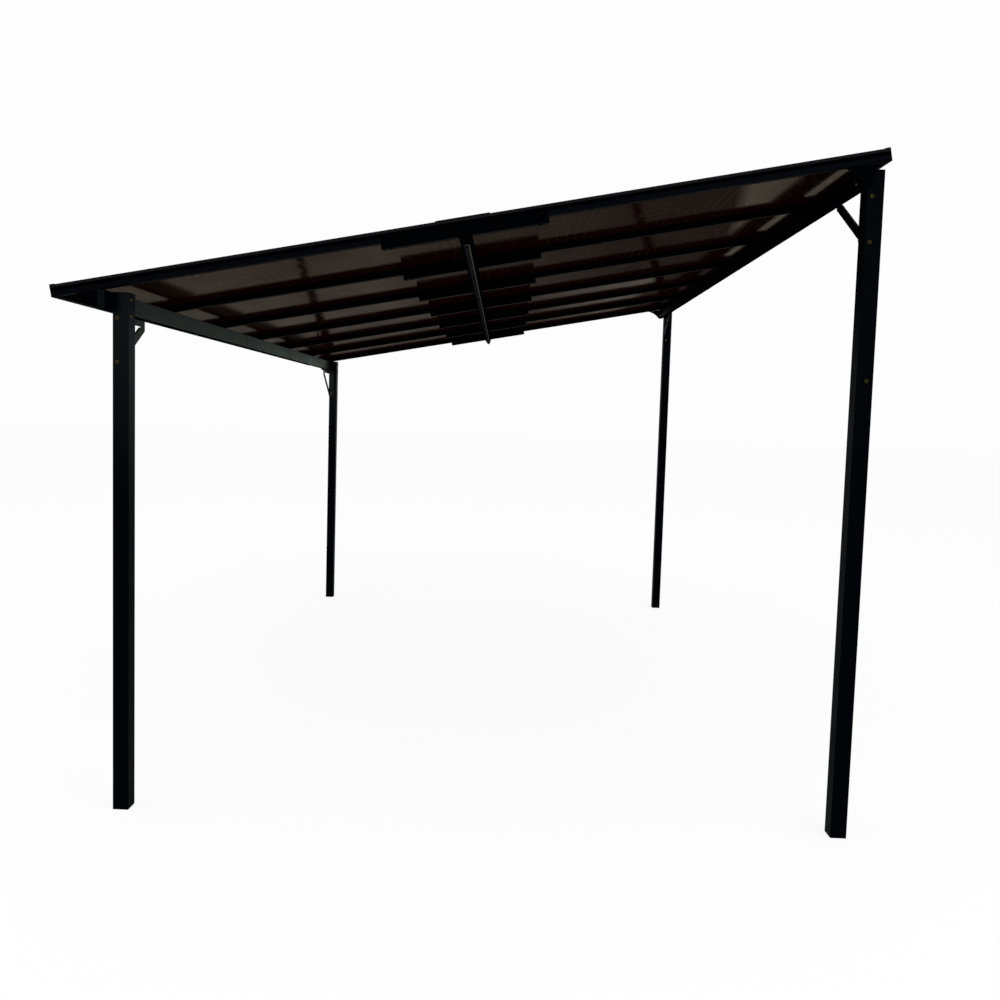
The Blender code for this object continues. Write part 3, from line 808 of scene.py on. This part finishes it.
def yellow_zinc():
    """Yellow passivated zinc: warm metal with faint green and rose clouds."""
    material, tree, shader = new_material("yellow_zinc", {"Metallic": 1.0, "Roughness": ZINC_ROUGHNESS})
    place = tree.nodes.new("ShaderNodeTexCoord").outputs["Object"]
    tint = add_node(tree, "ShaderNodeValToRGB")
    tint.color_ramp.elements[0].color = (*ZINC_GREEN, 1.0)
    tint.color_ramp.elements[1].color = (*ZINC_ROSE, 1.0)
    tint.color_ramp.elements[0].position = 0.3
    tint.color_ramp.elements[1].position = 0.7
    tint.color_ramp.elements.new(0.5).color = (*ZINC_YELLOW, 1.0)
    tree.links.new(noise_at(tree, place, Scale=160.0, Detail=2.0), tint.inputs["Fac"])
    tree.links.new(tint.outputs["Color"], shader.inputs["Base Color"])
    return material


def bolt_head():
    """One bolt head on its washer, turned about Z, with the socket's faces in a second slot, painted dark as
    shade.
    """
    top = WASHER_THICKNESS + HEAD_HEIGHT
    washer = [(0.0, 0.0), (WASHER_RADIUS, 0.0), (WASHER_RADIUS, WASHER_WALL),
              (WASHER_RADIUS - WASHER_EDGE, WASHER_THICKNESS)]
    button = [(HEAD_RADIUS, WASHER_THICKNESS), (HEAD_RADIUS, WASHER_THICKNESS + HEAD_HEIGHT * HEAD_WALL),
              (HEAD_RADIUS * SHOULDER_WIDTH, WASHER_THICKNESS + HEAD_HEIGHT * SHOULDER_HEIGHT),
              (SOCKET_RADIUS * SOCKET_RIM, top)]
    socket = [(SOCKET_RADIUS, top), (SOCKET_RADIUS, top - SOCKET_DEPTH), (0.0, top - SOCKET_DEPTH)]
    build = bmesh.new()
    points = [build.verts.new((radius, 0, height)) for radius, height in washer + button + socket]
    edges = [build.edges.new(pair) for pair in zip(points, points[1:])]
    bmesh.ops.spin(build, geom=points + edges, axis=(0, 0, 1), cent=(0, 0, 0), angle=2 * math.pi,
                   steps=BOLT_STEPS, use_merge=True)
    bmesh.ops.remove_doubles(build, verts=build.verts, dist=BOLT_MERGE_DISTANCE)
    bmesh.ops.recalc_face_normals(build, faces=build.faces)
    for face in build.faces:
        middle = face.calc_center_median()
        inside = math.hypot(middle.x, middle.y) < SOCKET_RADIUS * SOCKET_REACH
        face.material_index = 1 if inside and middle.z > WASHER_THICKNESS else 0
    return build


ZINC = yellow_zinc()
# The sockets are painted dark: painted shade in the recess.
SOCKET = moulded_plastic("socket_painted_shade", SOCKET_SHADE_DARK, SOCKET_ROUGHNESS, SOCKET_SPECULAR)


def add_bolts(name, spots, material):
    """One piece with a bolt head at each of these places, each facing its own way."""
    head = bpy.data.meshes.new("bolt_head")
    single = bolt_head()
    single.to_mesh(head)
    single.free()
    build = bmesh.new()
    for spot, outward in spots:
        known = len(build.verts)
        build.from_mesh(head)
        build.verts.ensure_lookup_table()
        turn = Vector((0, 0, 1)).rotation_difference(Vector(outward)).to_matrix().to_4x4()
        bmesh.ops.transform(build, matrix=Matrix.Translation(spot) @ turn, verts=build.verts[known:])
    bpy.data.meshes.remove(head)
    for face in build.faces:
        face.smooth = True
    piece = finish_piece(name, build, (material, SOCKET), "frame")
    piece.data.set_sharp_from_angle(angle=BOLT_SHARP_ANGLE)


for row, side in CORNERS:
    low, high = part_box("post_" + row + "_" + side)
    beam_low, beam_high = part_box("side_beam_" + side + "_" + row)
    middle_y = (low.y + high.y) / 2
    outer_y, away = (low.y, -1) if row == "front" else (high.y, 1)
    spots = [((low.x + POST_BOLT_IN, outer_y, beam_low.z - drop), (0, away, 0)) for drop in BRACE_BOLT_DROPS]
    if side == "high":
        spots.append(((low.x + 2 * POST_BOLT_IN, outer_y, MIDDLE_BOLT_HEIGHT), (0, away, 0)))
    else:
        for rise in BEAM_BOLT_RISES:
            spots.append(((high.x, middle_y + away * BEAM_BOLT_OUT, beam_low.z + rise), (1, 0, 0)))
    spots.append(((beam_low.x, middle_y, beam_low.z + BEAM_BACK_BOLT_RISE), (-1, 0, 0)))
    add_bolts("bolts_post_" + row + "_" + side, spots, ZINC)

# Bracket bolts: zinc heads like those on the posts. They go up through the low brackets'
# seats and across through the high brackets' laps. The bolts through the posts end in nuts
# on the brackets.
SEAT_BOLT_IN = 0.0085
SEAT_BOLT_OFF = 0.0005
LAP_BOLT_DROP = 0.0147
SHEET_THICKNESS = 0.003
BRACE_BOLTS_AT = (0.065, 0.175)
NUT_RADIUS = 0.0066
NUT_HEIGHT = 0.0052
NUT_SIDES = 6
THREAD_RADIUS = 0.0030
THREAD_HEIGHT = 0.0080
THREAD_SIDES = 16
nuts = bmesh.new()
for row, side in CORNERS:
    corner = row + "_" + side
    low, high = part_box("knee_brace_" + corner)
    post_side, inward = (low.y, 1) if row == "front" else (high.y, -1)
    spots = []
    for along in BRACE_BOLTS_AT:
        y = post_side + inward * along
        if side == "low":
            spots.append(((low.x + SEAT_BOLT_IN, y, high.z - SHEET_THICKNESS - SEAT_BOLT_OFF), (0, 0, -1)))
        else:
            spots.append(((low.x + SHEET_THICKNESS, y, high.z - LAP_BOLT_DROP), (1, 0, 0)))
    add_bolts("bolts_knee_brace_" + corner, spots, ZINC)
    post_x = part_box("post_" + corner)[0].x
    under_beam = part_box("side_beam_" + side + "_" + row)[0].z
    for drop in BRACE_BOLT_DROPS:
        spot = Vector((post_x + POST_BOLT_IN, post_side + inward * SHEET_THICKNESS, under_beam - drop))
        turn = Matrix.Rotation(-inward * math.pi / 2, 4, "X")
        for radius, height, sides in ((NUT_RADIUS, NUT_HEIGHT, NUT_SIDES),
                                      (THREAD_RADIUS, THREAD_HEIGHT, THREAD_SIDES)):
            stand_cone(nuts, spot, turn, radius, radius, height, sides)
finish_piece("brace_nuts", nuts, (ZINC,), "frame")

# Clip bolts: button heads through the side beams, one just in front of each inner rafter,
# which hold it down. Those on the high beam are as dark as the screws.
CLIP_BOLT_RISE = 0.060
CLIP_BOLT_BEFORE = 0.035
for side, material in (("low", ZINC), ("high", SCREW_COAT)):
    low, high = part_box("side_beam_" + side + "_front")
    spots = []
    for number in range(2, RAFTERS_IN_ROOF):
        rafter_low, rafter_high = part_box("rafter_" + str(number) + "_low")
        y = (rafter_low.y + rafter_high.y) / 2 - CLIP_BOLT_BEFORE
        spots.append(((low.x, y, low.z + CLIP_BOLT_RISE), (-1, 0, 0)))
    add_bolts("clip_bolts_" + side, spots, material)

# Camera: at eye height before the middle of the front, as in the photo, with the lens level
# but for a slight tilt and roll.
CAMERA_PLACE = Vector((0.0708, -5.6209, 1.6579))
CAMERA_YAW = math.radians(-1.409)
CAMERA_PITCH = math.radians(-3.908)
CAMERA_ROLL = math.radians(1.647)
CAMERA_LENS = 31.345
CAMERA_SHIFT = (0.01783, -0.02352)
GROUND_MIDDLE = (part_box("post_front_low")[0].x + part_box("post_front_high")[1].x) / 2
view = bpy.data.cameras.new("view")
view.sensor_width = 36.0
view.sensor_fit = "HORIZONTAL"
view.lens = CAMERA_LENS
view.shift_x, view.shift_y = CAMERA_SHIFT
camera = bpy.data.objects.new("camera", view)
bpy.context.scene.collection.objects.link(camera)
aim = (Matrix.Rotation(-CAMERA_YAW, 4, "Z") @ Matrix.Rotation(math.pi / 2 + CAMERA_PITCH, 4, "X")
       @ Matrix.Rotation(CAMERA_ROLL, 4, "Z"))
camera.matrix_world = Matrix.Translation(CAMERA_PLACE + Vector((GROUND_MIDDLE, 0, 0))) @ aim
bpy.context.scene.camera = camera

# Studio: a wide pale floor, a plain white surround and two large soft lamps. The floor
# keeps the pergola's shadow, only lightly.
FLOOR_SIZE = 160.0
FLOOR_SIDES = 96
FLOOR_COLOUR = (0.95, 0.95, 0.95)
FLOOR_GLOW = 0.88
WHITE = (1, 1, 1, 1)
SURROUND_WHITE = 0.985
SKY_LIGHT = 0.95
LAMP_SIZE = 5.0
LAMP_AIM = Vector((0, 0, 1.5))
LAMPS = (("key", Vector((4.0, -5.0, 7.0)), 220.0), ("fill", Vector((-6.0, -2.0, 5.0)), 110.0))


def seen_directly(tree):
    """One for rays from the camera, from gloss and from glass, and nothing for the rest."""
    path = tree.nodes.new("ShaderNodeLightPath").outputs
    either = math_node(tree, "MAXIMUM", path["Is Camera Ray"], path["Is Glossy Ray"])
    return math_node(tree, "MAXIMUM", either, path["Is Transmission Ray"])


floor_mesh = bmesh.new()
bmesh.ops.create_circle(floor_mesh, cap_ends=True, segments=FLOOR_SIDES, radius=FLOOR_SIZE / 2)
floor_data = bpy.data.meshes.new("floor")
floor_mesh.to_mesh(floor_data)
floor_mesh.free()
floor = bpy.data.objects.new("floor", floor_data)
bpy.context.scene.collection.objects.link(floor)
floor_paint, tree, shader = new_material("pale_floor", {
    "Base Color": (*FLOOR_COLOUR, 1.0), "Roughness": 1.0, "Specular IOR Level": 0.0})
glow = add_node(tree, "ShaderNodeEmission", inputs={"Color": WHITE, "Strength": SURROUND_WHITE})
blend = tree.nodes.new("ShaderNodeMixShader")
tree.links.new(math_node(tree, "MULTIPLY", seen_directly(tree), FLOOR_GLOW), blend.inputs["Fac"])
tree.links.new(shader.outputs["BSDF"], blend.inputs[1])
tree.links.new(glow.outputs["Emission"], blend.inputs[2])
tree.links.new(blend.outputs["Shader"], tree.nodes["Material Output"].inputs["Surface"])
floor_data.materials.append(floor_paint)

world = bpy.data.worlds.new("white_surround")
world.use_nodes = True
tree = world.node_tree
light = tree.nodes["Background"]
light.inputs["Color"].default_value = WHITE
light.inputs["Strength"].default_value = SKY_LIGHT
white = add_node(tree, "ShaderNodeBackground", inputs={"Color": WHITE, "Strength": SURROUND_WHITE})
blend = tree.nodes.new("ShaderNodeMixShader")
tree.links.new(seen_directly(tree), blend.inputs["Fac"])
tree.links.new(light.outputs["Background"], blend.inputs[1])
tree.links.new(white.outputs["Background"], blend.inputs[2])
tree.links.new(blend.outputs["Shader"], tree.nodes["World Output"].inputs["Surface"])
bpy.context.scene.world = world

for name, place, power in LAMPS:
    lamp = bpy.data.lights.new(name, "AREA")
    lamp.size = LAMP_SIZE
    lamp.energy = power
    lamp_object = bpy.data.objects.new(name, lamp)
    bpy.context.scene.collection.objects.link(lamp_object)
    lamp_object.location = place
    lamp_object.rotation_euler = (LAMP_AIM - place).to_track_quat("-Z", "Y").to_euler()

bpy.context.scene.view_settings.view_transform = "Standard"
